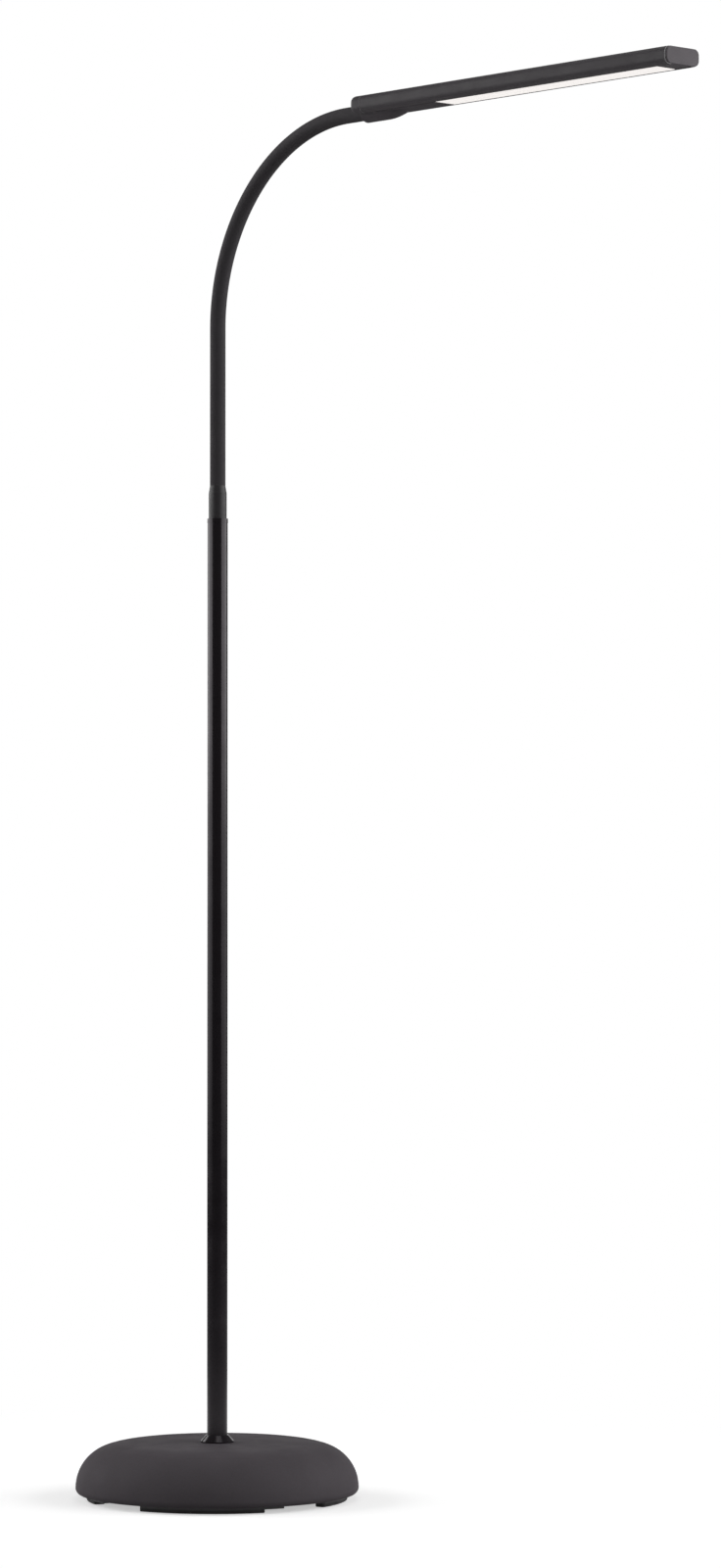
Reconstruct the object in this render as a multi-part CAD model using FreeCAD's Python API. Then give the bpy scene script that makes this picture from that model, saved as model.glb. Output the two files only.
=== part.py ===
import FreeCAD, Part
import math
import os

# Gooseneck reading floor lamp, in millimetres. Z is up and the floor is z = 0. The pole stands on the
# Z axis, and the neck bends over towards +X, where the light bar lies level.

# Fits
slip = 0.05  # radial play of a stud, spigot or screw in its hole
play = 0.3  # gap round a piece that drops into a pocket

# Base cover: a moulded dome with a flat crown
base_radius = 125.0
rim_height = 5.4
dome_height = 44.6
cover_wall = 2.5
shoulder_radius = 74.3
shoulder_turn = 17.2
side_radius = 37.7
rim_radius = 5.4
rim_inset = 6.7
column_radius = 12.0
post_radius = 4.5

# Base plate, its foot bosses, its screws and the rubber pads
plate_recess = 0.5
plate_thickness = 2.5
foot_count = 4
foot_inset = 10.0
foot_width = 10.0
foot_turn = 1.4
boss_angle = 67.0
pad_angle = 57.5
pad_thickness = 3.0
foot_corner = 2.5
pad_edge = 0.8
plate_screw_radius = 1.5
plate_screw_length = 14.0
plate_screw_head_radius = 3.5
plate_screw_head_height = 2.2

# Weight
weight_inset = 39.0
weight_thickness = 18.5
counterbore_radius = 14.0
counterbore_depth = 8.5
post_inset = 10.0

# Hollow stud that ties weight, cover and pole together
stud_radius = 5.0
stud_bore_radius = 3.0
stud_reach = 18.0
stud_tail = 0.5
stud_nut_flats = 17.0
stud_nut_height = 6.0
stud_washer_radius = 12.0
stud_washer_thickness = 1.5

# Pole, with the plug in its foot and the collar round it
pole_radius = 9.0
pole_wall = 1.2
pole_length = 811.3
foot_plug_height = 20.0
collar_radius = 14.6
collar_height = 6.5
collar_edge = 1.2
collar_lip = 0.8

# Ring on top of the pole
ring_radius = 9.2
ring_height = 4.1
groove_radius = 8.6
groove_height = 0.6
ring_spigot_length = 15.0

# Ferrule at the foot of the neck
ferrule_radius = 8.0
ferrule_height = 22.4
ferrule_cone_height = 6.7
ferrule_stud_length = 14.0
ferrule_socket_depth = 25.0

# Neck: a wound steel core in a smooth sleeve, which runs straight, turns a quarter and runs level
sleeve_radius = 6.9
sleeve_wall = 1.4
core_radius = 5.2
core_bore_radius = 2.8
neck_straight = 139.5
neck_bend_radius = 171.0
neck_joints = 14
least_bend_radius = 140.0
core_clearance = 0.15

# Lead inside the lamp, from the socket in the base to the light bar
lead_radius = 2.1
lead_corner_radius = 13.0
lead_ramp_radius = 14.0
lead_tail = 6.0
lead_over_weight = 2.4
lead_window_width = 5.4
lead_rise = 1.8
lead_rise_start = 218.5
lead_rise_end = 230.5

# Low-voltage socket in the back of the base
socket_height = 24.0
socket_inset = 6.0
socket_wall = 3.5
socket_boss_radius = 9.0
socket_pocket_radius = 6.8
socket_nose_radius = 4.1
socket_nose_length = 3.0
socket_body_radius = 5.5
socket_body_length = 11.5
socket_bore_radius = 2.8
socket_bore_depth = 9.5
socket_pin_radius = 1.05
socket_pin_inset = 1.0
socket_nut_radius = 6.0
socket_nut_height = 2.0

# Light bar: an extruded channel with a slot below, closed by a cap at each end
bar_root = 192.5
bar_tip = 573.0
bar_width = 38.0
bar_thickness = 14.9
bar_above_neck = 12.4
bar_corner = 5.5
bar_wall = 1.3
slot_width = 22.6
root_cap_length = 13.5
end_chamfer = 0.4
tip_cap_thickness = 1.9
tip_cap_edge = 0.5
tip_cap_step = 0.4
tip_seam = 0.1
tip_spigot_length = 11.0
tip_tongue_length = 18.4
tip_spigot_wall = 1.6

# Clamp of the neck inside the root cap
clamp_length = 18.0
mouth_depth = 6.0
upper_ferrule_radius = 6.5
upper_ferrule_length = 10.0
upper_ferrule_socket = 8.0
clamp_wall = 5.0
clamp_stud_radius = 4.0
clamp_stud_length = 10.5
clamp_nut_flats = 12.0
clamp_nut_height = 4.0
clamp_pocket_half_width = 7.6
clamp_pocket_rise = 7.4
set_screw_radius = 1.5
set_screw_offset = 10.2
set_screw_inset = 7.0
set_screw_length = 8.0

# Saddle: the moulded cover under the root of the light bar
saddle_start = 196.3
saddle_plate_start = 197.0
saddle_end = 292.9
saddle_drop = 0.4
saddle_radius = 9.0
saddle_bore_radius = 7.2
saddle_bore_end = 220.0
saddle_ramp_start = 221.0
saddle_ramp_end = 259.0
saddle_groove_half_width = 2.6
saddle_flange_start = 226.0
flange_thickness = 1.1
board_post_radius = 2.2
board_post_inset = 4.0

# Diffuser, reflector and the row of light chips
end_gap = 0.2
board_thickness = 1.6
led_board_width = 16.0
led_board_margin = 3.0
tape_thickness = 0.3
led_count = 36
led_length = 3.5
led_width = 2.8
led_height = 0.7
reflector_sheet = 0.6
reflector_slot_half_width = 2.2
reflector_shelf_half_width = 6.8
reflector_foot_inset = 0.4
reflector_bridge = 1.2

# Driver board and what it carries
driver_start = 232.0
driver_end = 288.0
driver_width = 28.0
driver_depth = 6.7
inductor_radius = 4.0
inductor_height = 4.0
inductor_place = 268.0
capacitor_radius = 3.15
capacitor_height = 4.0
capacitor_place = 246.0
capacitor_offset = 8.0
chip_length = 6.0
chip_width = 5.0
chip_height = 1.5
chip_place = 272.0
connector_start = 234.0
connector_length = 7.0
connector_width = 7.5
connector_height = 3.9
board_screw_radius = 1.0
board_screw_length = 5.0
board_screw_head_radius = 1.9
board_screw_head_height = 1.3
jumper_radius = 0.5
jumper_offset = 4.0
jumper_corner = 1.2
jumper_inset = 1.5

# Touch pad in the top of the light bar
touch_place = 254.0
touch_radius = 5.5
touch_flange_radius = 7.0
touch_flange_thickness = 0.8
touch_contact_radius = 2.5

# Heights, places and widths that follow
plate_bottom = rim_height + plate_recess
plate_top = plate_bottom + plate_thickness
crown_height = rim_height + dome_height
ceiling_height = crown_height - cover_wall
foot_outer_radius = base_radius - foot_inset
weight_radius = base_radius - weight_inset
post_circle = weight_radius - post_inset
weight_top = plate_top + weight_thickness
washer_top = plate_top + counterbore_depth
stud_nut_top = washer_top - stud_washer_thickness
stud_nut_bottom = stud_nut_top - stud_nut_height
lead_level = weight_top + lead_over_weight + lead_radius
socket_face = base_radius - socket_inset
socket_back = socket_face - socket_wall - socket_body_length
pole_top = crown_height + pole_length
pole_bore_radius = pole_radius - pole_wall
ring_top = pole_top + groove_height + ring_height
ferrule_top = ring_top + ferrule_height
neck_foot = ferrule_top + ferrule_cone_height
bend_height = neck_foot + neck_straight
neck_level = bend_height + neck_bend_radius
bend_length = neck_bend_radius * math.pi / 2
neck_length = neck_straight + bend_length + bar_root - neck_bend_radius
joint_spacing = neck_length / neck_joints
bar_top = neck_level + bar_above_neck
bar_bottom = bar_top - bar_thickness
lip_top = bar_bottom + bar_wall
roof = bar_top - bar_wall
housing_start = bar_root + root_cap_length
housing_end = bar_tip - tip_cap_thickness - tip_seam
clamp_end = housing_start + clamp_length
ferrule_seat = bar_root + mouth_depth
clamp_wall_start = ferrule_seat + upper_ferrule_length
clamp_wall_end = clamp_wall_start + clamp_wall
tongue_half_width = slot_width / 2 - 2 * slip
flange_half_width = bar_width / 2 - bar_corner - slip
flange_bottom = lip_top + slip
flange_top = flange_bottom + flange_thickness
diffuser_start = saddle_end + end_gap
diffuser_end = bar_tip - tip_cap_thickness - tip_tongue_length - end_gap
led_board_top = roof - tape_thickness
led_board_bottom = led_board_top - board_thickness
led_board_start = diffuser_start - led_board_margin
led_board_end = diffuser_end + led_board_margin
driver_bottom = roof - driver_depth
driver_top = driver_bottom + board_thickness


def disc(radius, bottom, top, x=0.0, y=0.0):
    """An upright cylinder."""
    return Part.makeCylinder(radius, top - bottom, FreeCAD.Vector(x, y, bottom))


def pipe(radius, bore, bottom, top):
    """An upright tube on the Z axis."""
    return disc(radius, bottom, top).cut(disc(bore, bottom, top))


def rod(radius, start, end, z, y=0.0):
    """A cylinder that lies along X."""
    return Part.makeCylinder(radius, end - start, FreeCAD.Vector(start, y, z), FreeCAD.Vector(1, 0, 0))


def block(start, end, half_width, bottom, top, y=0.0):
    """A box from start to end along X."""
    corner = FreeCAD.Vector(start, y - half_width, bottom)
    return Part.makeBox(end - start, 2 * half_width, top - bottom, corner)


def outline(points):
    """A closed face through points; a pair of points stands for an arc's middle and its end."""
    edges = []
    here = points[0]
    for point in points[1:] + points[:1]:
        if isinstance(point, tuple):
            middle, end = point
            edges.append(Part.Arc(here, middle, end).toShape())
            here = end
        else:
            edges.append(Part.LineSegment(here, point).toShape())
            here = point
    return Part.Face(Part.Wire(edges))


def turned(points, angle=360.0):
    """A solid of revolution about the Z axis."""
    return outline(points).revolve(FreeCAD.Vector(0, 0, 0), FreeCAD.Vector(0, 0, 1), angle)


def upright(pairs):
    """Points in the XZ plane from pairs of x and z."""
    return [FreeCAD.Vector(x, 0, z) for x, z in pairs]


def along_bar(pairs, start, end):
    """A bar along X whose section is given as pairs of y and z."""
    section = outline([FreeCAD.Vector(start, y, z) for y, z in pairs])
    return section.extrude(FreeCAD.Vector(end - start, 0, 0))


def around(shape, first):
    """A copy of a shape at each foot position about the pole."""
    copies = []
    for k in range(foot_count):
        copy = shape.copy()
        copy.rotate(FreeCAD.Vector(0, 0, 0), FreeCAD.Vector(0, 0, 1), first + 360.0 * k / foot_count)
        copies.append(copy)
    return copies


def both_sides(shape):
    """A shape and its mirror image across the lamp's middle plane."""
    return [shape, shape.mirror(FreeCAD.Vector(0, 0, 0), FreeCAD.Vector(0, 1, 0))]


def joined(shapes):
    """One solid from shapes that meet."""
    result = shapes[0]
    for shape in shapes[1:]:
        result = result.fuse(shape)
    return result.removeSplitter()


def without(shape, cuts):
    """A shape with each of the cuts taken out."""
    for cut in cuts:
        shape = shape.cut(cut)
    return shape.removeSplitter()


def hexagon(flats, height):
    """A hexagonal prism on the Z axis, with two corners across Y."""
    radius = flats / math.sqrt(3)
    corners = []
    for k in range(6):
        turn = math.radians(60 * k + 30)
        corners.append(FreeCAD.Vector(radius * math.cos(turn), radius * math.sin(turn), 0))
    return outline(corners).extrude(FreeCAD.Vector(0, 0, height))


def rounded_bar(width, bottom, top, corner, start, end):
    """A bar along X whose section is a rounded rectangle."""
    bar = block(start, end, width / 2, bottom, top)
    lengthwise = [edge for edge in bar.Edges if edge.BoundBox.XLength > edge.BoundBox.DiagonalLength / 2]
    return bar.makeFillet(corner, lengthwise)


def inner_bar(gap, start, end):
    """A bar that fills the housing's channel, less a gap all round."""
    width = bar_width - 2 * bar_wall - 2 * gap
    return rounded_bar(width, lip_top + gap, roof - gap, bar_corner - bar_wall - gap, start, end)


def route(points, radii):
    """A wire in the middle plane through points, with each inner corner rounded to its radius."""
    edges = []
    here = points[0]
    for before, corner, after, radius in zip(points, points[1:], points[2:], radii):
        inward = (before - corner).normalize()
        onward = (after - corner).normalize()
        half = inward.getAngle(onward) / 2
        reach = radius / math.tan(half)
        middle_way = (inward + onward).normalize()
        start = corner + inward * reach
        end = corner + onward * reach
        middle = corner + middle_way * (radius / math.sin(half) - radius)
        edges.append(Part.LineSegment(here, start).toShape())
        edges.append(Part.Arc(start, middle, end).toShape())
        here = end
    edges.append(Part.LineSegment(here, points[-1]).toShape())
    return Part.Wire(edges)


def swept(path, radius):
    """A round rod along a wire."""
    first = path.Edges[0]
    way = first.tangentAt(first.FirstParameter)
    section = Part.Wire(Part.makeCircle(radius, first.Vertexes[0].Point, way))
    return path.makePipeShell([section], True, False)


def neck_run(radius, start, end):
    """A round rod along the neck's centre line, between two distances from its foot."""
    bend_start = neck_straight
    bend_end = neck_straight + bend_length
    pieces = []
    if start < bend_start:
        pieces.append(disc(radius, neck_foot + start, neck_foot + min(end, bend_start)))
    if start < bend_end and end > bend_start:
        first = math.degrees((max(start, bend_start) - bend_start) / neck_bend_radius)
        last = math.degrees((min(end, bend_end) - bend_start) / neck_bend_radius)
        center = FreeCAD.Vector(neck_bend_radius, 0, bend_height)
        turn_axis = FreeCAD.Vector(0, 1, 0)
        section = Part.Face(Part.Wire(Part.makeCircle(radius, FreeCAD.Vector(0, 0, bend_height))))
        section.rotate(center, turn_axis, first)
        pieces.append(section.revolve(center, turn_axis, last - first))
    if end > bend_end:
        level_start = neck_bend_radius + max(start - bend_end, 0)
        pieces.append(rod(radius, level_start, neck_bend_radius + end - bend_end, neck_level))
    return joined(pieces)


def neck_tube(radius, bore, start, end):
    """A tube along the neck's centre line."""
    return neck_run(radius, start, end).cut(neck_run(bore, start, end))


def dome(inset):
    """The dome's outline turned about the pole, drawn in by a wall, and closed level with the rim."""
    turn = math.radians(shoulder_turn)
    side_x = base_radius - side_radius
    crown_x = side_x - (shoulder_radius - side_radius) * math.sin(turn)
    shoulder_z = crown_height - shoulder_radius
    side_z = shoulder_z + (shoulder_radius - side_radius) * math.cos(turn)

    def on_arc(center_x, center_z, radius, angle):
        return FreeCAD.Vector(center_x + radius * math.sin(angle), 0, center_z + radius * math.cos(angle))

    shoulder_middle = on_arc(crown_x, shoulder_z, shoulder_radius - inset, turn / 2)
    shoulder_end = on_arc(side_x, side_z, side_radius - inset, turn)
    side_middle = on_arc(side_x, side_z, side_radius - inset, (turn + math.pi / 2) / 2)
    widest = on_arc(side_x, side_z, side_radius - inset, math.pi / 2)
    points = upright([(0, rim_height), (0, crown_height - inset), (crown_x, crown_height - inset)])
    points.append((shoulder_middle, shoulder_end))
    points.append((side_middle, widest))
    if inset:
        points.append(FreeCAD.Vector(widest.x, 0, rim_height))
    else:
        tuck = math.asin((side_z - rim_height) / rim_radius)
        rim_x = base_radius - rim_radius
        rim_middle = on_arc(rim_x, side_z, rim_radius, (math.pi + tuck) / 2)
        points.append((rim_middle, on_arc(rim_x, side_z, rim_radius, math.pi / 2 + tuck)))
    return turned(points)


def lead_window(reach):
    """The opening through which the lead passes from the back into the hollow stud."""
    low = lead_level - lead_radius - play
    high = lead_level + lead_corner_radius - lead_radius
    return block(-reach, 0, lead_window_width / 2, low, high)


def base_cover():
    """The dome with its middle column, its four screw posts and the boss behind the socket."""
    hollow = dome(cover_wall).common(disc(base_radius - rim_inset, rim_height, ceiling_height))
    boss = rod(socket_boss_radius, -base_radius, socket_wall - socket_face, socket_height)
    ribs = around(disc(post_radius, plate_top, ceiling_height, x=post_circle), 180 / foot_count)
    ribs.append(disc(column_radius, weight_top, ceiling_height))
    ribs.append(boss.common(hollow))
    pilot_top = plate_bottom + plate_screw_length + play
    pilot = disc(plate_screw_radius + slip, plate_top, pilot_top, x=post_circle)
    cuts = around(pilot, 180 / foot_count)
    cuts.append(disc(stud_radius + play, weight_top, crown_height))
    cuts.append(lead_window(column_radius + play))
    cuts.append(rod(socket_pocket_radius, -base_radius, -socket_face, socket_height))
    cuts.append(rod(socket_nose_radius + slip, -base_radius, socket_wall - socket_face, socket_height))
    return without(joined([dome(0).cut(hollow)] + ribs), cuts)


def foot_start():
    """The direction in which the first foot boss and its pad begin."""
    return foot_turn - 180 / foot_count - boss_angle / 2


def foot_arc(angle, bottom, top):
    """A foot's arc with rounded corners, from the X axis."""
    inner = foot_outer_radius - foot_width
    corners = [(inner, bottom), (foot_outer_radius, bottom), (foot_outer_radius, top), (inner, top)]
    arc = turned(upright(corners), angle)
    return arc.makeFillet(foot_corner, [edge for edge in arc.Edges if edge.BoundBox.ZLength > slip])


def base_plate():
    """The round plate that closes the base, with the four bosses that the pads sit on."""
    plate = disc(base_radius - rim_inset - play, plate_bottom, plate_top)
    bosses = around(foot_arc(boss_angle, pad_thickness, plate_bottom), foot_start())
    hole = disc(plate_screw_radius + slip, plate_bottom, plate_top, x=post_circle)
    return without(joined([plate] + bosses), around(hole, 180 / foot_count))


def foot_pads():
    """The four rubber pads that the lamp stands on."""
    pad = foot_arc(pad_angle, 0, pad_thickness)
    low = [edge for edge in pad.Edges if edge.BoundBox.ZMax < slip]
    return around(pad.makeFillet(pad_edge, low), foot_start())


def plate_screws():
    """The four screws that hold the plate to the cover's posts."""
    head = disc(plate_screw_head_radius, plate_bottom - plate_screw_head_height, plate_bottom, x=post_circle)
    shank = disc(plate_screw_radius, plate_bottom, plate_bottom + plate_screw_length, x=post_circle)
    return Part.makeCompound(around(joined([head, shank]), 180 / foot_count))


def base_weight():
    """The cast disc, with its counterbore for the nut and its holes for the posts."""
    cuts = around(disc(post_radius + play, plate_top, weight_top, x=post_circle), 180 / foot_count)
    cuts.append(disc(counterbore_radius, plate_top, washer_top))
    cuts.append(disc(stud_radius + play, plate_top, weight_top))
    return without(disc(weight_radius, plate_top, weight_top), cuts)


def hollow_stud():
    """The threaded tube up the middle of the base, with a window for the lead."""
    tube = pipe(stud_radius, stud_bore_radius, stud_nut_bottom - stud_tail, crown_height + stud_reach)
    return tube.cut(lead_window(stud_radius + play))


def stud_nut():
    """The nut under the weight."""
    nut = hexagon(stud_nut_flats, stud_nut_height)
    nut.translate(FreeCAD.Vector(0, 0, stud_nut_bottom))
    return nut.cut(disc(stud_radius + slip, stud_nut_bottom, stud_nut_top))


def pole_collar():
    """The turned cone that hides the joint between pole and base."""
    bore = pole_radius + play / 2
    return turned(upright([
        (bore, crown_height),
        (collar_radius, crown_height),
        (collar_radius, crown_height + collar_edge),
        (bore + collar_lip, crown_height + collar_height),
        (bore, crown_height + collar_height),
    ]))


def pole_ring():
    """The ring on top of the pole, with its groove and the spigot that plugs the pole."""
    groove_top = pole_top + groove_height
    ring = joined([
        disc(pole_bore_radius - slip, pole_top - ring_spigot_length, pole_top),
        disc(groove_radius, pole_top, groove_top),
        disc(ring_radius, groove_top, ring_top),
    ])
    return ring.cut(disc(stud_radius + slip, pole_top - ring_spigot_length, ring_top))


def lower_ferrule():
    """The neck's foot fitting: a stud, a cylinder and a cone up to the sleeve."""
    body = turned(upright([
        (0, ring_top - ferrule_stud_length),
        (stud_radius, ring_top - ferrule_stud_length),
        (stud_radius, ring_top),
        (ferrule_radius, ring_top),
        (ferrule_radius, ferrule_top),
        (sleeve_radius, neck_foot),
        (0, neck_foot),
    ]))
    socket = disc(core_radius + slip, neck_foot - ferrule_socket_depth, neck_foot)
    return without(body, [socket, disc(core_bore_radius, ring_top - ferrule_stud_length, neck_foot)])


def neck_sleeve():
    """The smooth sleeve, from the lower ferrule to the upper one."""
    return neck_tube(sleeve_radius, sleeve_radius - sleeve_wall, 0, neck_length + mouth_depth)


def core_gap():
    """The gap between two sections of the core that lets a joint turn to its limit."""
    turn = 2 * joint_spacing * (1 / least_bend_radius + 1 / neck_bend_radius)
    return 2 * (core_radius * math.tan(turn / 2) + core_clearance)


def core_sections():
    """The wound core, divided at each of the neck's joints."""
    joints = [joint_spacing * (k + 0.5) for k in range(neck_joints)]
    starts = [-ferrule_socket_depth] + [place + core_gap() / 2 for place in joints]
    ends = [place - core_gap() / 2 for place in joints]
    ends.append(neck_length + mouth_depth + upper_ferrule_socket)
    return [neck_tube(core_radius, core_bore_radius, start, end) for start, end in zip(starts, ends)]


def upper_ferrule():
    """The fitting at the neck's upper end, with the stud that the clamp nut holds."""
    stud_end = clamp_wall_start + clamp_stud_length
    body = rod(upper_ferrule_radius, ferrule_seat, clamp_wall_start, neck_level)
    stud = rod(clamp_stud_radius, clamp_wall_start, stud_end, neck_level)
    socket = rod(core_radius + slip, ferrule_seat, ferrule_seat + upper_ferrule_socket, neck_level)
    return without(joined([body, stud]), [socket, rod(core_bore_radius, ferrule_seat, stud_end, neck_level)])


def clamp_nut():
    """The nut on the upper ferrule's stud."""
    nut = hexagon(clamp_nut_flats, clamp_nut_height)
    nut.rotate(FreeCAD.Vector(0, 0, 0), FreeCAD.Vector(0, 1, 0), 90)
    nut.translate(FreeCAD.Vector(clamp_wall_end, 0, neck_level))
    nut_end = clamp_wall_end + clamp_nut_height
    return nut.cut(rod(clamp_stud_radius + slip, clamp_wall_end, nut_end, neck_level))


def supply_lead():
    """The lead from the socket over the weight, up the pole and the neck, to the driver board."""
    points = upright([
        (-socket_back, socket_height),
        (-socket_back + lead_tail, socket_height),
        (-weight_radius, lead_level),
        (0, lead_level),
        (0, neck_level),
        (lead_rise_start, neck_level),
        (lead_rise_end, neck_level + lead_rise),
        (connector_start, neck_level + lead_rise),
    ])
    radii = [
        lead_ramp_radius,
        lead_ramp_radius,
        lead_corner_radius,
        neck_bend_radius,
        lead_ramp_radius,
        lead_ramp_radius,
    ]
    path = route(points, radii)
    lead = swept(path, lead_radius)
    print("lead: length", round(path.Length, 1), "least radius", min(radii))
    print("lead: volume over section times length", lead.Volume / (math.pi * lead_radius**2 * path.Length))
    return lead


def power_socket():
    """The socket's body, its threaded nose through the cover's wall, and its centre pin."""
    wall = socket_wall - socket_face
    nose_end = -socket_face - socket_nose_length
    body = rod(socket_body_radius, wall, -socket_back, socket_height)
    nose = rod(socket_nose_radius, nose_end, wall, socket_height)
    bore = rod(socket_bore_radius, nose_end, nose_end + socket_bore_depth, socket_height)
    pin = rod(socket_pin_radius, nose_end + socket_pin_inset, nose_end + socket_bore_depth, socket_height)
    return joined([joined([body, nose]).cut(bore), pin])


def socket_nut():
    """The round nut on the socket's nose."""
    outer = rod(socket_nut_radius, -socket_face - socket_nut_height, -socket_face, socket_height)
    return outer.cut(rod(socket_nose_radius + slip, -base_radius, -socket_face, socket_height))


def root_cap():
    """The cast end of the light bar, whose spigot slides into the channel and holds the neck."""
    head = block(bar_root, housing_start, bar_width / 2, bar_bottom, bar_top)
    rounded = [edge for edge in head.Edges if edge.BoundBox.XMin < housing_start - slip]
    head = head.makeFillet(bar_corner, rounded)
    cuts = [
        rod(sleeve_radius + play, bar_root, ferrule_seat, neck_level),
        rod(upper_ferrule_radius + slip, bar_root, clamp_wall_start, neck_level),
        rod(clamp_stud_radius + slip, bar_root, clamp_wall_end, neck_level),
        block(clamp_wall_end, clamp_end, clamp_pocket_half_width, bar_bottom, neck_level + clamp_pocket_rise),
        block(saddle_plate_start - slip, housing_start, slot_width / 2, bar_bottom, lip_top + slip),
    ]
    place = set_screw_place()
    cuts += both_sides(disc(set_screw_radius + slip, bar_bottom, bar_top, place, set_screw_offset))
    return without(joined([head, inner_bar(slip, housing_start, clamp_end)]), cuts)


def set_screw_place():
    """Where the set screws stand along the bar."""
    return clamp_end - set_screw_inset


def set_screws():
    """The two screws that wedge the root cap's spigot between the roof and the lips."""
    screw = disc(set_screw_radius, roof - set_screw_length, roof, set_screw_place(), set_screw_offset)
    return Part.makeCompound(both_sides(screw))


def saddle_fairing():
    """The half-round fairing under the neck's end, which rises until it sinks into the plate."""
    rise = bar_bottom - saddle_drop - (neck_level - saddle_radius)
    run = saddle_ramp_end - saddle_ramp_start
    turn = 2 * math.atan(rise / run)
    turn_radius = run / 2 / math.sin(turn)
    path = route(
        upright([
            (saddle_start, neck_level),
            (saddle_ramp_start + turn_radius * math.tan(turn / 2), neck_level),
            (saddle_ramp_end - turn_radius * math.tan(turn / 2), neck_level + rise),
            (saddle_ramp_end + saddle_radius, neck_level + rise),
        ]),
        [turn_radius * (1 - slip), turn_radius * (1 - slip)],
    )
    return swept(path, saddle_radius).common(
        block(saddle_start, saddle_end, bar_width / 2, neck_level - 2 * saddle_radius, bar_bottom)
    )


def neck_saddle():
    """The cover in the slot at the bar's root: fairing, plate, flange and the driver board's posts."""
    low = bar_bottom - saddle_drop
    plate = block(saddle_plate_start, saddle_end, tongue_half_width, low, lip_top - slip)
    web = block(saddle_flange_start, saddle_end, tongue_half_width, low, flange_top)
    flange = block(saddle_flange_start, saddle_end, flange_half_width, flange_bottom, flange_top)
    solids = [saddle_fairing(), plate, web, flange]
    cuts = [
        rod(saddle_bore_radius, saddle_start, saddle_bore_end, neck_level),
        block(
            saddle_bore_end,
            connector_start,
            saddle_groove_half_width,
            neck_level - saddle_groove_half_width,
            flange_top,
        ),
    ]
    for place, offset in board_post_places():
        solids.append(disc(board_post_radius, flange_bottom, driver_bottom, place, offset))
        pilot_bottom = driver_top - board_screw_length
        cuts.append(disc(board_screw_radius + slip, pilot_bottom, driver_bottom, place, offset))
    return without(joined(solids), cuts)


def board_post_places():
    """The driver board's four fixing points."""
    offset = driver_width / 2 - board_post_inset
    ends = [driver_start + board_post_inset, driver_end - board_post_inset]
    return [(place, side * offset) for place in ends for side in (-1, 1)]


def board_screws():
    """The four screws that hold the driver board."""
    screws = []
    for place, offset in board_post_places():
        shank = disc(board_screw_radius, driver_top - board_screw_length, driver_top, place, offset)
        head_top = driver_top + board_screw_head_height
        screws.append(joined([shank, disc(board_screw_head_radius, driver_top, head_top, place, offset)]))
    return Part.makeCompound(screws)


def bar_housing():
    """The extruded channel, with its slot, the hole for the touch pad and a chamfer at the root."""
    outer = rounded_bar(bar_width, bar_bottom, bar_top, bar_corner, housing_start, housing_end)
    root_end = [edge for edge in outer.Edges if edge.BoundBox.XMax < housing_start + slip]
    return without(outer.makeChamfer(end_chamfer, root_end), [
        inner_bar(0, housing_start, housing_end),
        block(housing_start, housing_end, slot_width / 2, bar_bottom, lip_top),
        disc(touch_radius + slip, roof, bar_top, x=touch_place),
    ])


def tip_cap():
    """The end plate, its spigot in the channel and the tongue that fills the end of the slot."""
    face_start = housing_end + tip_seam
    width = bar_width - 2 * tip_cap_step
    low = bar_bottom + tip_cap_step
    face = rounded_bar(width, low, bar_top - tip_cap_step, bar_corner - tip_cap_step, face_start, bar_tip)
    rim = [edge for edge in face.Edges if edge.BoundBox.XMin > bar_tip - slip]
    spigot = inner_bar(slip, face_start - tip_spigot_length, face_start)
    hollow = inner_bar(slip + tip_spigot_wall, face_start - tip_spigot_length, face_start)
    tongue_top = flange_bottom + tip_spigot_wall
    tongue = block(face_start - tip_tongue_length, face_start, tongue_half_width, low, tongue_top)
    return joined([face.makeFillet(tip_cap_edge, rim), spigot.cut(hollow), tongue])


def diffuser():
    """The opal strip, flush in the slot, with a flange that rests on the lips."""
    strip = block(diffuser_start, diffuser_end, tongue_half_width, bar_bottom, flange_top)
    flange = block(diffuser_start, diffuser_end, flange_half_width, flange_bottom, flange_top)
    return joined([strip, flange])


def reflector():
    """The white folded channel that stands on the diffuser and frames the row of light chips."""
    foot = flange_half_width - reflector_foot_inset
    shelf = reflector_shelf_half_width
    top = led_board_bottom
    outer = [(-foot, flange_top), (-shelf, top), (shelf, top), (foot, flange_top)]
    inner = [
        (-foot + reflector_sheet, flange_top),
        (-shelf + reflector_sheet, top - reflector_sheet),
        (shelf - reflector_sheet, top - reflector_sheet),
        (foot - reflector_sheet, flange_top),
    ]
    slot_start = diffuser_start + reflector_bridge
    slot_end = diffuser_end - reflector_bridge
    return without(along_bar(outer, diffuser_start, diffuser_end), [
        along_bar(inner, diffuser_start, diffuser_end),
        block(slot_start, slot_end, reflector_slot_half_width, flange_top, led_board_top),
    ])


def led_chips():
    """The row of light chips under the long board."""
    pitch = (diffuser_end - diffuser_start) / led_count
    chips = []
    for k in range(led_count):
        middle = diffuser_start + pitch * (k + 0.5)
        start = middle - led_length / 2
        chips.append(
            block(start, start + led_length, led_width / 2, led_board_bottom - led_height, led_board_bottom)
        )
    return Part.makeCompound(chips)


def jumper_wires():
    """The two wires from the driver board up to the long board."""
    low = driver_end - jumper_inset
    high = led_board_start + jumper_inset
    middle = (driver_top + led_board_bottom) / 2
    points = upright([(low, driver_top), (low, middle), (high, middle), (high, led_board_bottom)])
    wire = swept(route(points, [jumper_corner, jumper_corner]), jumper_radius)
    wire.translate(FreeCAD.Vector(0, jumper_offset, 0))
    return Part.makeCompound(both_sides(wire))


def touch_pad():
    """The round pad in the bar's roof, with its flange glued underneath."""
    pad = disc(touch_radius, roof, bar_top, x=touch_place)
    return joined([pad, disc(touch_flange_radius, roof - touch_flange_thickness, roof, x=touch_place)])


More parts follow.
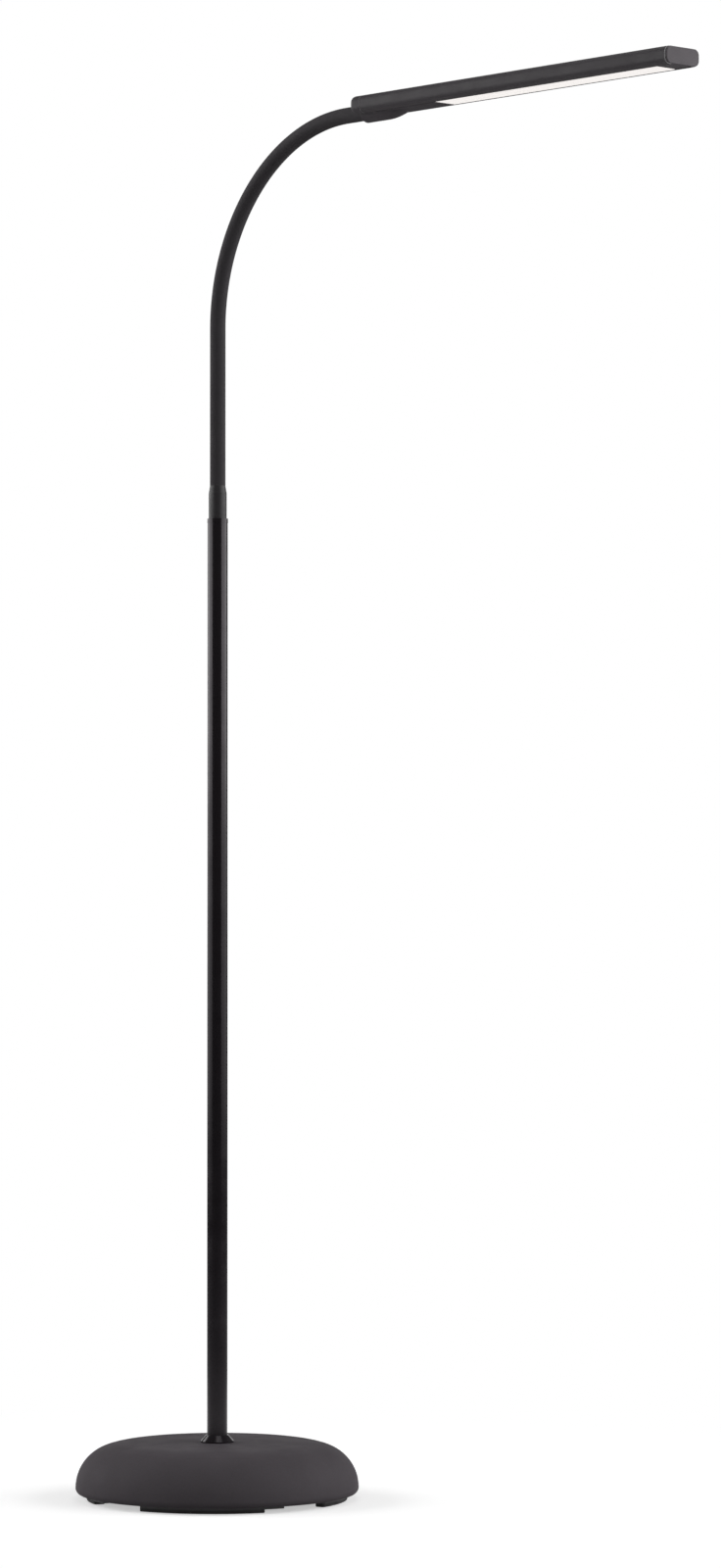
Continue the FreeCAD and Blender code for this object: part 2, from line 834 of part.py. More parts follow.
def parts():
    """Every piece of the lamp, by name."""
    pieces = {
        "base_cover": base_cover(),
        "base_plate": base_plate(),
        "base_weight": base_weight(),
        "plate_screws": plate_screws(),
        "hollow_stud": hollow_stud(),
        "stud_washer": pipe(stud_washer_radius, stud_radius + slip, stud_nut_top, washer_top),
        "stud_nut": stud_nut(),
        "power_socket": power_socket(),
        "socket_nut": socket_nut(),
        "pole_foot_plug": pipe(
            pole_bore_radius - slip, stud_radius + slip, crown_height, crown_height + foot_plug_height
        ),
        "pole": pipe(pole_radius, pole_bore_radius, crown_height, pole_top),
        "pole_collar": pole_collar(),
        "pole_ring": pole_ring(),
        "lower_ferrule": lower_ferrule(),
        "neck_sleeve": neck_sleeve(),
        "supply_lead": supply_lead(),
        "upper_ferrule": upper_ferrule(),
        "clamp_nut": clamp_nut(),
        "root_cap": root_cap(),
        "set_screws": set_screws(),
        "neck_saddle": neck_saddle(),
        "bar_housing": bar_housing(),
        "tip_cap": tip_cap(),
        "diffuser": diffuser(),
        "reflector": reflector(),
        "led_board": block(
            led_board_start, led_board_end, led_board_width / 2, led_board_bottom, led_board_top
        ),
        "thermal_tape": block(led_board_start, led_board_end, led_board_width / 2, led_board_top, roof),
        "led_chips": led_chips(),
        "driver_board": driver_board(),
        "driver_inductor": disc(
            inductor_radius, driver_top, driver_top + inductor_height, x=inductor_place
        ),
        "driver_capacitors": Part.makeCompound(both_sides(disc(
            capacitor_radius, driver_top, driver_top + capacitor_height, capacitor_place, capacitor_offset
        ))),
        "driver_chip": block(
            chip_place, chip_place + chip_length, chip_width / 2, driver_bottom - chip_height, driver_bottom
        ),
        "lead_connector": block(
            connector_start,
            connector_start + connector_length,
            connector_width / 2,
            driver_bottom - connector_height,
            driver_bottom,
        ),
        "board_screws": board_screws(),
        "jumper_wires": jumper_wires(),
        "touch_pad": touch_pad(),
        "touch_contact": disc(
            touch_contact_radius, driver_top, roof - touch_flange_thickness, x=touch_place
        ),
    }
    for side, pad in zip(("front_right", "front_left", "rear_left", "rear_right"), foot_pads()):
        pieces["foot_pad_" + side] = pad
    for number, section in enumerate(core_sections()):
        pieces["neck_core_%02d" % number] = section
    return pieces


def driver_board():
    """The short board that regulates the light, on the saddle's posts."""
    board = block(driver_start, driver_end, driver_width / 2, driver_bottom, driver_top)
    holes = [
        disc(board_screw_radius + slip, driver_bottom, driver_top, place, offset)
        for place, offset in board_post_places()
    ]
    return without(board, holes)


os.makedirs("parts", exist_ok=True)
for name, shape in parts().items():
    shape.exportStep("parts/%s.step" % name)
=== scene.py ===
import bmesh
import bpy
import math
from mathutils import Matrix, Vector


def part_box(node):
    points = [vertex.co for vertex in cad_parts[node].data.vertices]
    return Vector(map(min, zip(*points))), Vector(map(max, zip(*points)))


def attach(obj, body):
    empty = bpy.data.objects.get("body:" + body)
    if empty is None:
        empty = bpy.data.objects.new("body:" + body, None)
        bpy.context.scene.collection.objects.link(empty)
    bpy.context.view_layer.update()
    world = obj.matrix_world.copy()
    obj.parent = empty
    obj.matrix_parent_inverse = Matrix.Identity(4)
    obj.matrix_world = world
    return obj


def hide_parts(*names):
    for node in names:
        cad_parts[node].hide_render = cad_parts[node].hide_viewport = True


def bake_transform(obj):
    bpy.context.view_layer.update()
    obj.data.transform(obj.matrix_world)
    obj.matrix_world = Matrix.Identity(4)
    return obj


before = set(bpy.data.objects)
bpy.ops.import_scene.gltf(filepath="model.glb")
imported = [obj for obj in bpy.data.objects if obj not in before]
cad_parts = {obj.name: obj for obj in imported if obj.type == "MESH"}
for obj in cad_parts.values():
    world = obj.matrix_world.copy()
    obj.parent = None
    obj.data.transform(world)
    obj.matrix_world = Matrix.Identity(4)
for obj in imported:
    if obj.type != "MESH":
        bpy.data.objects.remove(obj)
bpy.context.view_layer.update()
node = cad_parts

# ---------------------------------------------------------------------------------------------
# The base cover: one injection-moulded dome in dark grey plastic with a fine spark-eroded grain,
# a flat crown where the pole stands and a rim tucked in under its widest line. Four screws from
# below hold it to the base plate.
# ---------------------------------------------------------------------------------------------


def graded(tree, value, start, end, low=0.0, high=1.0):
    """A value that runs evenly from low, where the given one is at start, to high at end."""
    grade = tree.nodes.new("ShaderNodeMapRange")
    for socket, number in (("From Min", start), ("From Max", end), ("To Min", low), ("To Max", high)):
        grade.inputs[socket].default_value = number
    tree.links.new(value, grade.inputs["Value"])
    return grade.outputs["Result"]


def worked(tree, operation, first, second):
    """What a Math node makes of a value and a second value or plain number."""
    math_node = tree.nodes.new("ShaderNodeMath")
    math_node.operation = operation
    tree.links.new(first, math_node.inputs[0])
    if isinstance(second, float):
        math_node.inputs[1].default_value = second
    else:
        tree.links.new(second, math_node.inputs[1])
    return math_node.outputs["Value"]


def finish(name, tone, roughness, grain, relief, mottle=0.08, worn_and_highlit=None, **fixed):
    """A surface with uneven colour and gloss, a grain given in grains per metre, and edges painted paler,
    partly as wear and partly as a painted highlight.
    """
    made = bpy.data.materials.new(name)
    made.use_nodes = True
    tree = made.node_tree
    nodes, links = tree.nodes, tree.links
    shader = nodes["Principled BSDF"]
    for socket, value in fixed.items():
        shader.inputs[socket.replace("_", " ")].default_value = value
    place = nodes.new("ShaderNodeTexCoord")

    def noise(scale, detail):
        cloud = nodes.new("ShaderNodeTexNoise")
        cloud.inputs["Scale"].default_value = scale
        cloud.inputs["Detail"].default_value = detail
        cloud.inputs["Roughness"].default_value = 0.55
        links.new(place.outputs["Object"], cloud.inputs["Vector"])
        return cloud.outputs["Fac"]

    # Slow clouds of a few centimetres, and a speckle twice as coarse as the grain
    clouds = nodes.new("ShaderNodeMix")
    clouds.data_type = "FLOAT"
    clouds.inputs["Factor"].default_value = 0.4
    links.new(noise(22.0, 4.0), clouds.inputs["A"])
    links.new(noise(grain * 0.5, 2.0), clouds.inputs["B"])
    shade = nodes.new("ShaderNodeValToRGB")
    shade.color_ramp.elements[0].position = 0.32
    shade.color_ramp.elements[1].position = 0.68
    shade.color_ramp.elements[0].color = [c * (1 - mottle) for c in tone] + [1]
    shade.color_ramp.elements[1].color = [c * (1 + mottle) for c in tone] + [1]
    links.new(clouds.outputs["Result"], shade.inputs["Fac"])
    colour = shade.outputs["Color"]

    # Gloss, a little duller where hands and cloths have been
    gloss = graded(tree, noise(55.0, 5.0), 0.3, 0.7, roughness - 0.05, roughness + 0.07)
    links.new(gloss, shader.inputs["Roughness"])

    bump = nodes.new("ShaderNodeBump")
    bump.inputs["Strength"].default_value = 0.6
    bump.inputs["Distance"].default_value = relief
    links.new(noise(grain, 3.0), bump.inputs["Height"])
    links.new(bump.outputs["Normal"], shader.inputs["Normal"])

    if worn_and_highlit:
        # Edges painted paler, partly as wear and partly as a painted highlight: where a rounded normal
        # leans away from the true one
        edge_band_width = 0.0005
        rounded = nodes.new("ShaderNodeBevel")
        rounded.samples = 4
        rounded.inputs["Radius"].default_value = edge_band_width
        true = nodes.new("ShaderNodeNewGeometry")
        lean = nodes.new("ShaderNodeVectorMath")
        lean.operation = "DOT_PRODUCT"
        links.new(rounded.outputs["Normal"], lean.inputs[0])
        links.new(true.outputs["Normal"], lean.inputs[1])
        rub_and_highlight = graded(tree, lean.outputs["Value"], 0.99, 0.8, high=0.7)
        rubbed_and_highlit = nodes.new("ShaderNodeMix")
        rubbed_and_highlit.data_type = "RGBA"
        links.new(worked(tree, "MULTIPLY", rub_and_highlight, noise(140.0, 4.0)), rubbed_and_highlit.inputs["Factor"])
        links.new(colour, rubbed_and_highlit.inputs["A"])
        rubbed_and_highlit.inputs["B"].default_value = [*worn_and_highlit, 1]
        colour = rubbed_and_highlit.outputs["Result"]
    links.new(colour, shader.inputs["Base Color"])
    return made


def dress(material, *names):
    """Gives CAD nodes their finish."""
    for name in names:
        node[name].data.materials.clear()
        node[name].data.materials.append(material)


dress(
    finish("grained dark grey plastic", (0.087, 0.078, 0.086), 0.64, 1500.0, 0.00006,
           worn_and_highlit=(0.13, 0.125, 0.13), Specular_IOR_Level=0.03),
    "base_cover",
)

# ---------------------------------------------------------------------------------------------
# The base plate and what is fixed to it: a black moulded plate with four raised arcs, four zinc
# plated screws up into the cover's posts, and four black rubber pads glued on the arcs.
# ---------------------------------------------------------------------------------------------

dress(
    finish("black plate plastic", (0.03, 0.029, 0.03), 0.5, 1200.0, 0.00008, worn_and_highlit=(0.07, 0.068, 0.07)),
    "base_plate",
)
dress(
    finish("zinc plated steel", (0.52, 0.52, 0.5), 0.34, 900.0, 0.00003, worn_and_highlit=(0.7, 0.7, 0.68),
           Metallic=1.0),
    "plate_screws", "stud_washer", "stud_nut", "clamp_nut", "set_screws", "board_screws",
)
dress(
    finish("pad rubber", (0.024, 0.023, 0.024), 0.82, 1400.0, 0.00012, worn_and_highlit=(0.06, 0.06, 0.058)),
    "foot_pad_front_right", "foot_pad_front_left", "foot_pad_rear_left", "foot_pad_rear_right",
)

# ---------------------------------------------------------------------------------------------
# The weight and the fittings in the middle of the base: a rough grey iron casting, and turned and
# rolled steel for the hollow stud, the plug in the pole's foot and the neck's upper fitting.
# ---------------------------------------------------------------------------------------------

dress(
    finish("cast iron", (0.11, 0.105, 0.1), 0.7, 420.0, 0.0004, mottle=0.25, worn_and_highlit=(0.22, 0.21, 0.2),
           Metallic=0.6),
    "base_weight",
)
dress(
    finish("turned steel", (0.5, 0.49, 0.47), 0.3, 1600.0, 0.00002, worn_and_highlit=(0.66, 0.65, 0.62), Metallic=1.0),
    "hollow_stud", "pole_foot_plug", "upper_ferrule",
)

# ---------------------------------------------------------------------------------------------
# The power socket: a black moulded body in a round recess at the back of the base, held by a
# nickel plated round nut on its threaded nose.
# ---------------------------------------------------------------------------------------------

dress(
    finish("socket plastic", (0.02, 0.02, 0.02), 0.3, 1800.0, 0.00002, worn_and_highlit=(0.05, 0.05, 0.05)),
    "power_socket",
)
dress(
    finish("nickel plate", (0.6, 0.57, 0.52), 0.22, 1500.0, 0.00002, worn_and_highlit=(0.75, 0.72, 0.68), Metallic=1.0),
    "socket_nut",
)

# ---------------------------------------------------------------------------------------------
# The pole: one straight steel tube, 18 mm thick, in gloss black lacquer over a slight orange peel.
# The turned collar at its foot and the ring at its top have the same lacquer.
# ---------------------------------------------------------------------------------------------

dress(
    finish("gloss black lacquer", (0.0125, 0.0102, 0.0123), 0.17, 260.0, 0.000005, worn_and_highlit=(0.03, 0.03, 0.03),
           Specular_IOR_Level=0.3, Specular_Tint=(1.0, 0.93, 0.99, 1.0)),
    "pole", "pole_collar", "pole_ring",
)

# ---------------------------------------------------------------------------------------------
# The ferrule at the foot of the neck: turned steel in satin black, a cylinder that screws into
# the ring and a cone that meets the sleeve edge to edge.
# ---------------------------------------------------------------------------------------------

dress(
    finish("satin black lacquer", (0.032, 0.0295, 0.032), 0.45, 900.0, 0.00003, worn_and_highlit=(0.07, 0.068, 0.07),
           Specular_IOR_Level=0.3),
    "lower_ferrule",
)

# ---------------------------------------------------------------------------------------------
# The neck: a wound steel core that stays where it is bent, with the lead inside it, drawn through
# a smooth matte black sleeve. Each of the three is made in fourteen lengths, one across each
# joint.
# ---------------------------------------------------------------------------------------------

neck_foot = 0.8951
neck_straight = 0.1395
neck_turn = 0.171
bar_root = 0.1925
ring_spacing = 0.0022
neck_turn_end = neck_straight + neck_turn * math.pi / 2
neck_end = neck_turn_end + bar_root - neck_turn
bend_height = neck_foot + neck_straight
neck_level = bend_height + neck_turn


def run(x=0.0, z=0.0):
    """A straight move in the lamp's middle plane."""
    return Matrix.Translation((x, 0, z))


def turn(x, z, angle):
    """A turn about a point in the lamp's middle plane; a positive one leans from up to +X."""
    centre = Matrix.Translation((x, 0, z))
    return centre @ Matrix.Rotation(angle, 4, "Y") @ centre.inverted()


def along_neck(start, end):
    """The one move that carries a ring on the neck's centre line from start to end."""
    def within(low, high):
        return min(max(end, low), high) - min(max(start, low), high)

    up = run(z=within(0.0, neck_straight))
    over = turn(neck_turn, bend_height, within(neck_straight, neck_turn_end) / neck_turn)
    out = run(x=within(neck_turn_end, math.inf))
    return out @ over @ up


def neck_steps(start, end):
    """Short moves from start to end, with a ring at each end of the quarter turn."""
    marks = [start, *[m for m in (neck_straight, neck_turn_end) if start < m < end], end]
    steps = []
    for a, b in zip(marks, marks[1:]):
        count = max(1, round((b - a) / ring_spacing))
        rings = [a + (b - a) * k / count for k in range(count + 1)]
        steps += [along_neck(ring, further) for ring, further in zip(rings, rings[1:])]
    return steps


def drawn(name, place, steps, radius, bore, sides, material, slot):
    """A rod or tube drawn out of one ring, step by step."""
    shape = bmesh.new()
    bmesh.ops.create_circle(shape, segments=sides, radius=radius, cap_ends=not bore)
    if bore:
        bmesh.ops.create_circle(shape, segments=sides, radius=bore)
        bmesh.ops.bridge_loops(shape, edges=shape.edges[:])
    bmesh.ops.transform(shape, matrix=place, verts=shape.verts[:])
    face = shape.faces[:]
    for step in steps:
        grown = bmesh.ops.extrude_face_region(shape, geom=face)["geom"]
        face = [g for g in grown if isinstance(g, bmesh.types.BMFace)]
        corners = [g for g in grown if isinstance(g, bmesh.types.BMVert)]
        bmesh.ops.transform(shape, matrix=step, verts=corners)
    bmesh.ops.recalc_face_normals(shape, faces=shape.faces[:])
    mesh = bpy.data.meshes.new(name)
    shape.to_mesh(mesh)
    shape.free()
    mesh.shade_smooth()
    mesh.set_sharp_from_angle(angle=math.radians(40))
    mesh.materials.append(material)
    piece = bpy.data.objects.new(name, mesh)
    bpy.context.scene.collection.objects.link(piece)
    return piece


sleeve_skin = finish(
    "matte black sleeve", (0.049, 0.045, 0.049), 0.7, 1300.0, 0.00005, Specular_IOR_Level=0.12
)
core_wire = finish("wound spring steel", (0.32, 0.32, 0.33), 0.4, 700.0, 0.0001, Metallic=1.0)
lead_jacket = finish("lead jacket", (0.02, 0.02, 0.021), 0.45, 900.0, 0.00003)
sleeve = dict(radius=0.0069, bore=0.0055, sides=48, material=sleeve_skin, slot="sleeve_rubber")
core = dict(radius=0.0052, bore=0.0028, sides=40, material=core_wire, slot="core_steel")
lead = dict(radius=0.0021, bore=0.0, sides=20, material=lead_jacket, slot="lead_jacket")

links_up = ["stand", *["neck_link_%02d" % k for k in range(1, 14)], "light_bar"]
length = neck_end / (len(links_up) - 1)
for k, (below, above) in enumerate(zip(links_up, links_up[1:])):
    to_start = along_neck(0.0, k * length)
    to_end = along_neck(0.0, (k + 1) * length)
    ends = [move @ Vector((0, 0, neck_foot)) for move in (to_start, to_end)]
    # For the thirteenth length the two bodies and the two ends are listed from the bar's side,
    # because from the stand's side the place of its hinge is lost in rounding when every joint is at
    # its upper limit
    turned_by = [below, above]
    if above == "neck_link_13":
        turned_by.reverse()
        ends.reverse()
    for label, kind, stands_for in (
        ("sleeve", sleeve, "neck_sleeve"),
        ("core", core, "neck_core_%02d" % k),
        ("neck_lead", lead, "supply_lead"),
    ):
        steps = neck_steps(k * length, (k + 1) * length)
        piece = drawn("%s_%02d" % (label, k + 1), to_start @ run(z=neck_foot), steps, **kind)
        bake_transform(piece)
        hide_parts(stands_for)

# The core's two plain ends, in the lower ferrule and in the upper one, and the sleeve's last
# 6 mm in the mouth of the root cap
lower_depth = 0.025
upper_depth = 0.014
mouth_depth = 0.006
bar_mouth = along_neck(0.0, neck_end) @ run(z=neck_foot)
for name, kind, place, step, body, stands_for in (
    ("core_lower_end", core, run(z=neck_foot - lower_depth), run(z=lower_depth), "stand", "neck_core_00"),
    ("core_upper_end", core, bar_mouth, run(x=upper_depth), "light_bar", "neck_core_14"),
    ("sleeve_end", sleeve, bar_mouth, run(x=mouth_depth), "light_bar", "neck_sleeve"),
):
    piece = drawn(name, place, [step], **kind)
    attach(piece, body)
    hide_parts(stands_for)

# ---------------------------------------------------------------------------------------------
# The lead below and above the neck: a round two-core lead with a black jacket. It leaves the
# socket, climbs over the weight, turns up through the hollow stud and the pole, and past the neck
# it rises a little to its connector under the driver board.
# ---------------------------------------------------------------------------------------------

lead_bend = 0.014
lead_corner = 0.013
ramp_width = 0.012
arc_steps = 4
corner_steps = 10
pole_steps = 12
socket_back = -0.104
socket_level = 0.024
socket_tail = 0.006
over_weight = 0.0314
bar_ramp_start = 0.2185
bar_ramp_rise = 0.0018
connector = 0.234


def ramp_reach(rise):
    """How far the round of a ramp's corner starts from the corner."""
    return lead_bend * math.tan(math.atan2(rise, ramp_width) / 2)


def ramp(x, z, rise):
    """Moves along +X that climb from height z by rise, between two corners of which x is the first."""
    slope = math.atan2(rise, ramp_width)
    reach = ramp_reach(rise)
    chord = math.hypot(ramp_width, rise) - 2 * reach
    up = turn(x - reach, z + lead_bend, -slope / arc_steps)
    climb = run(x=chord * math.cos(slope), z=chord * math.sin(slope))
    level = turn(x + ramp_width + reach, z + rise - lead_bend, slope / arc_steps)
    return [up] * arc_steps + [climb] + [level] * arc_steps


stand_rise = over_weight - socket_level
stand_reach = ramp_reach(stand_rise)
stand_ramp_start = socket_back + socket_tail
corner_top = over_weight + lead_corner
stand_moves = [run(x=socket_tail - stand_reach)]
stand_moves += ramp(stand_ramp_start, socket_level, stand_rise)
stand_moves += [run(x=-lead_corner - stand_ramp_start - ramp_width - stand_reach)]
stand_moves += [turn(-lead_corner, corner_top, -math.pi / 2 / corner_steps)] * corner_steps
stand_moves += [run(z=(neck_foot - corner_top) / pole_steps)] * pole_steps
socket_place = run(x=socket_back, z=socket_level) @ Matrix.Rotation(math.pi / 2, 4, "Y")
stand_lead = drawn("stand_lead", socket_place, stand_moves, **lead)
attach(stand_lead, "stand")
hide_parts("supply_lead")

bar_reach = ramp_reach(bar_ramp_rise)
bar_moves = [run(x=bar_ramp_start - bar_root - bar_reach)]
bar_moves += ramp(bar_ramp_start, neck_level, bar_ramp_rise)
bar_moves += [run(x=connector - bar_ramp_start - ramp_width - bar_reach)]
bar_lead = drawn("bar_lead", bar_mouth, bar_moves, **lead)
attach(bar_lead, "light_bar")
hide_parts("supply_lead")

# ---------------------------------------------------------------------------------------------
# The light bar's metalwork: an extruded aluminium channel and a cast root cap whose spigot slides
# into it, both in a fine matte dark grey coat. The channel is sawn to length after it is coated,
# so its two cut ends show the bare metal, and that pale band is also a painted highlight on the
# cut edges.
# ---------------------------------------------------------------------------------------------

coat = finish(
    "matte dark grey coat", (0.0515, 0.0455, 0.051), 0.55, 1700.0, 0.000015,
    worn_and_highlit=(0.16, 0.15, 0.16), Specular_IOR_Level=0.22,
)
tree = coat.node_tree
nodes, links = tree.nodes, tree.links
shader = nodes["Principled BSDF"]
place = nodes.new("ShaderNodeTexCoord")
axes = nodes.new("ShaderNodeSeparateXYZ")
links.new(place.outputs["Object"], axes.inputs["Vector"])
along = axes.outputs["X"]
# Within 0.7 mm of each end of the channel the coat gives way to a pale band, partly bare metal and partly a
# painted highlight on the cut edge
root_end, tip_end = [corner.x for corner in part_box("bar_housing")]
root_coated, root_band_full = root_end + 0.0003, root_end + 0.00015
tip_coated, tip_band_full = tip_end - 0.00065, tip_end - 0.0004
cap_edge = root_end - 0.00005
# The root cap lies before the channel's root end, so only what is on the channel side gets the pale band
on_channel = worked(tree, "GREATER_THAN", along, cap_edge)
root_bare_and_highlit = worked(tree, "MULTIPLY", graded(tree, along, root_coated, root_band_full), on_channel)
tip_bare_and_highlit = graded(tree, along, tip_coated, tip_band_full)
# The pale band's colour: bare metal that also serves as a painted highlight on the cut edges
sawn_and_highlit = nodes.new("ShaderNodeMix")
sawn_and_highlit.data_type = "RGBA"
links.new(worked(tree, "MAXIMUM", tip_bare_and_highlit, root_bare_and_highlit), sawn_and_highlit.inputs["Factor"])
links.new(shader.inputs["Base Color"].links[0].from_socket, sawn_and_highlit.inputs["A"])
sawn_and_highlit.inputs["B"].default_value = (0.42, 0.41, 0.42, 1)
links.new(sawn_and_highlit.outputs["Result"], shader.inputs["Base Color"])
dress(coat, "bar_housing", "root_cap")

# ---------------------------------------------------------------------------------------------
# The saddle and the tip cap: plastic mouldings close to the bar's colour. The saddle covers the
# clamp and the driver board from below, and the paler tip cap plugs the channel's far end.
# ---------------------------------------------------------------------------------------------

dress(
    finish("matte dark grey moulding", (0.052, 0.0455, 0.0515), 0.6, 1500.0, 0.00005,
           worn_and_highlit=(0.13, 0.125, 0.13), Specular_IOR_Level=0.2),
    "neck_saddle",
)
dress(
    finish("matte grey end cap", (0.108, 0.0975, 0.107), 0.6, 1500.0, 0.00005,
           worn_and_highlit=(0.18, 0.17, 0.18), Specular_IOR_Level=0.2),
    "tip_cap",
)

# ---------------------------------------------------------------------------------------------
# The diffuser: an extruded opal strip that glows warm white and almost evenly, with faint brighter
# bands across it, 7.2 mm apart, as a row of light chips gives.
# ---------------------------------------------------------------------------------------------

opal = finish("opal strip", (0.7, 0.685, 0.67), 0.4, 900.0, 0.00002, mottle=0.02)
tree = opal.node_tree
nodes, links = tree.nodes, tree.links
shader = nodes["Principled BSDF"]
place = nodes.new("ShaderNodeTexCoord")
bands = nodes.new("ShaderNodeTexWave")
bands.inputs["Scale"].default_value = 43.6
links.new(place.outputs["Object"], bands.inputs["Vector"])
glow = graded(tree, bands.outputs["Fac"], 0.0, 1.0, 0.68, 0.74)
shader.inputs["Emission Color"].default_value = (1.0, 0.955, 0.93, 1)
links.new(glow, shader.inputs["Emission Strength"])
dress(opal, "diffuser")

# ---------------------------------------------------------------------------------------------
# Inside the channel: the white folded reflector, the long white board with its row of light chips
# and the grey thermal tape behind it.
# ---------------------------------------------------------------------------------------------

dress(finish("reflector white", (0.82, 0.82, 0.8), 0.5, 1000.0, 0.00002, mottle=0.03), "reflector")
dress(finish("white solder mask", (0.8, 0.8, 0.77), 0.35, 1200.0, 0.00001, mottle=0.03), "led_board")
dress(finish("phosphor", (0.8, 0.68, 0.28), 0.4, 2500.0, 0.00001, mottle=0.05), "led_chips")
dress(finish("thermal tape", (0.28, 0.28, 0.3), 0.8, 900.0, 0.00005), "thermal_tape")

# ---------------------------------------------------------------------------------------------
# The driver board and what is soldered to it, on the saddle's four posts, with the two wires that
# feed the long board.
# ---------------------------------------------------------------------------------------------

dress(
    finish("green solder mask", (0.02, 0.13, 0.05), 0.35, 1200.0, 0.00001, worn_and_highlit=(0.3, 0.25, 0.12)),
    "driver_board",
)
dress(
    finish("component black", (0.025, 0.025, 0.026), 0.55, 1500.0, 0.00003),
    "driver_inductor", "driver_chip",
)
dress(finish("capacitor can", (0.6, 0.6, 0.62), 0.3, 1500.0, 0.00001, Metallic=1.0), "driver_capacitors")
dress(finish("connector nylon", (0.72, 0.71, 0.66), 0.5, 900.0, 0.00002, mottle=0.03), "lead_connector")
dress(finish("red wire", (0.42, 0.025, 0.018), 0.35, 1500.0, 0.00001), "jumper_wires")

# ---------------------------------------------------------------------------------------------
# The touch switch: a gloss black button flush in the roof of the bar, glued in from below, and
# the sprung bronze contact that stands on the driver board under it.
# ---------------------------------------------------------------------------------------------

dress(
    finish("touch gloss", (0.015, 0.015, 0.016), 0.14, 1500.0, 0.00001, worn_and_highlit=(0.05, 0.05, 0.05)),
    "touch_pad",
)
dress(finish("contact bronze", (0.55, 0.38, 0.16), 0.3, 1500.0, 0.00002, Metallic=1.0), "touch_contact")

# ---------------------------------------------------------------------------------------------
# The studio: a wide white floor that keeps the lamp's soft shadow and runs out to plain white,
# a tall soft light on each side, a small one overhead, and a low even light from all round.
# ---------------------------------------------------------------------------------------------

floor_radius = 60.0
shadow_full = 0.22
shadow_end = 0.8
paper_full = 0.9
paper_end = 1.2
floor_shape = bmesh.new()
bmesh.ops.create_circle(floor_shape, segments=96, radius=floor_radius, cap_ends=True)
floor_mesh = bpy.data.meshes.new("floor")
floor_shape.to_mesh(floor_mesh)
floor_shape.free()
floor = bpy.data.objects.new("floor", floor_mesh)
bpy.context.scene.collection.objects.link(floor)


def seen_white(tree, width):
    """How white the paper looks to a ray: in gloss by width, and wholly to the camera and in glass."""
    ray = tree.nodes.new("ShaderNodeLightPath")
    white = worked(tree, "MULTIPLY", ray.outputs["Is Glossy Ray"], width)
    for kind in ("Is Camera Ray", "Is Transmission Ray"):
        white = worked(tree, "MAXIMUM", white, ray.outputs[kind])
    return white


paper = bpy.data.materials.new("white paper sweep")
paper.use_nodes = True
tree = paper.node_tree
nodes, links = tree.nodes, tree.links
matte = nodes["Principled BSDF"]
matte.inputs["Base Color"].default_value = (0.8, 0.8, 0.8, 1)
matte.inputs["Roughness"].default_value = 0.9
matte.inputs["Specular IOR Level"].default_value = 0.0
# Seen by the camera, in glass and in gloss, the paper is as white as the backdrop where no
# shadow falls, and in gloss it ends where a roll of paper would
lift = nodes.new("ShaderNodeEmission")
lift.inputs["Strength"].default_value = 0.48
plain = nodes.new("ShaderNodeEmission")
place = nodes.new("ShaderNodeTexCoord")
away = nodes.new("ShaderNodeVectorMath")
away.operation = "LENGTH"
links.new(place.outputs["Object"], away.inputs[0])
fade = graded(tree, away.outputs["Value"], shadow_full, shadow_end)
fade.node.interpolation_type = "SMOOTHSTEP"
lifted = nodes.new("ShaderNodeAddShader")
links.new(matte.outputs["BSDF"], lifted.inputs[0])
links.new(lift.outputs["Emission"], lifted.inputs[1])
sweep = nodes.new("ShaderNodeMixShader")
links.new(fade, sweep.inputs[0])
links.new(lifted.outputs["Shader"], sweep.inputs[1])
links.new(plain.outputs["Emission"], sweep.inputs[2])
both = nodes.new("ShaderNodeMixShader")
paper_width = graded(tree, away.outputs["Value"], paper_end, paper_full)
links.new(seen_white(tree, paper_width), both.inputs[0])
# What the floor throws back up at the lamp is weak, as from a floor in a dim room
bounce = nodes.new("ShaderNodeBsdfDiffuse")
bounce.inputs["Color"].default_value = (0.38, 0.38, 0.38, 1)
links.new(bounce.outputs["BSDF"], both.inputs[1])
links.new(sweep.outputs["Shader"], both.inputs[2])
links.new(both.outputs["Shader"], nodes["Material Output"].inputs["Surface"])
floor_mesh.materials.append(paper)

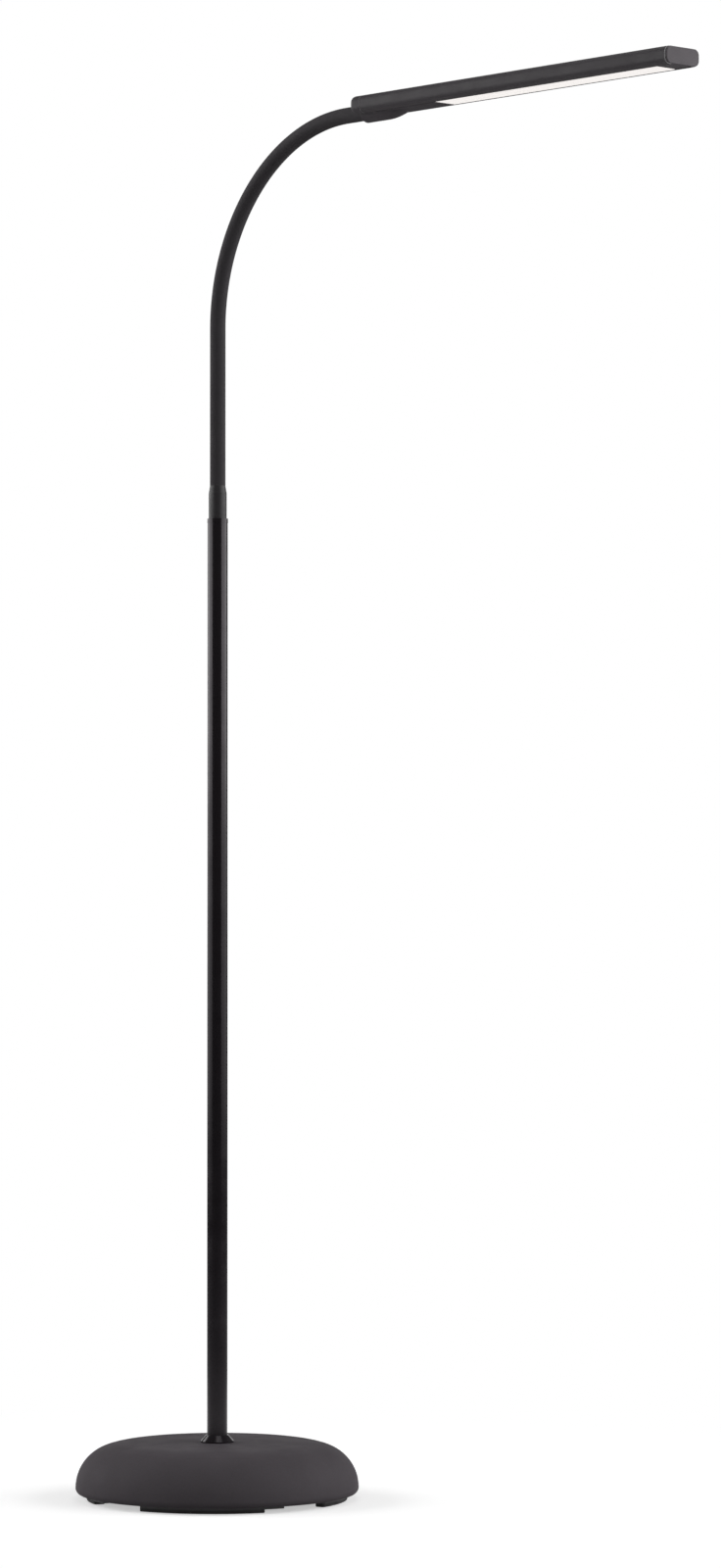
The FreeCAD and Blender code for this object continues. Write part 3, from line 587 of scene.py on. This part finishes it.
# Each side's light is a tall sheet that is dimmer towards the floor, in watts per square metre,
# turned to its side from the line of sight, whose bearing is in degrees from +Y towards -X
sight_bearing = 47.5
stand_off = 2.6
lit_place = 0.1
for name, turned, wide, low, high, watts in (
    ("left_soft_light", -98.5, 4.15, 0.68, 2.4, 9.4),
    ("left_low_light", -98.5, 4.15, 0.2, 0.68, 3.0),
    ("right_soft_light", 83.0, 4.0, 0.68, 2.4, 10.2),
    ("right_low_light", 83.0, 4.0, 0.2, 0.68, 3.2),
):
    light = bpy.data.lights.new(name, "AREA")
    light.shape = "RECTANGLE"
    light.size = wide
    light.size_y = high - low
    light.energy = watts * wide * (high - low)
    lamp = bpy.data.objects.new(name, light)
    heading = math.radians(sight_bearing + turned)
    middle = (low + high) / 2
    lamp.location = (stand_off * math.sin(heading), -stand_off * math.cos(heading), middle)
    aim = Vector((lit_place, 0, middle)) - lamp.location
    lamp.rotation_euler = aim.to_track_quat("-Z", "Y").to_euler()
    bpy.context.scene.collection.objects.link(lamp)

top_light = bpy.data.lights.new("top_soft_light", "AREA")
top_light.size = 0.8
top_light.energy = 3.4
top_lamp = bpy.data.objects.new("top_soft_light", top_light)
top_lamp.location = (0.3, 0, 1.95)
bpy.context.scene.collection.objects.link(top_lamp)

world = bpy.data.worlds.new("studio air")
bpy.context.scene.world = world
world.use_nodes = True
tree = world.node_tree
nodes, links = tree.nodes, tree.links
# White to the camera and through glass, and in gloss over the width of the paper behind the lamp
direction = nodes.new("ShaderNodeTexCoord")
behind = nodes.new("ShaderNodeVectorMath")
behind.operation = "DOT_PRODUCT"
behind.inputs[1].default_value = (-0.737, 0.676, 0.0)
links.new(direction.outputs["Generated"], behind.inputs[0])
paper_width = graded(tree, behind.outputs["Value"], 0.88, 0.93)
room_light = 0.13
air = worked(tree, "MAXIMUM", seen_white(tree, paper_width), room_light)
nodes["Background"].inputs["Color"].default_value = (1, 1, 1, 1)
links.new(air, nodes["Background"].inputs["Strength"])
bpy.context.scene.view_settings.view_transform = "Standard"

# ---------------------------------------------------------------------------------------------
# The camera, where the photograph was taken: nearly level, a little under half the lamp's height
# and 4.7 m away, with the light bar reaching to the right and towards it.
# ---------------------------------------------------------------------------------------------

line_of_sight = Vector((-0.737156, 0.675439, 0.0194))
lens = bpy.data.cameras.new("camera")
lens.lens = 121.5
lens.sensor_width = 36.0
lens.clip_start = 0.1
lens.clip_end = 200.0
camera = bpy.data.objects.new("camera", lens)
camera.location = (3.5376, -3.0698, 0.5402)
camera.rotation_euler = line_of_sight.to_track_quat("-Z", "Y").to_euler()
bpy.context.scene.collection.objects.link(camera)
bpy.context.scene.camera = camera
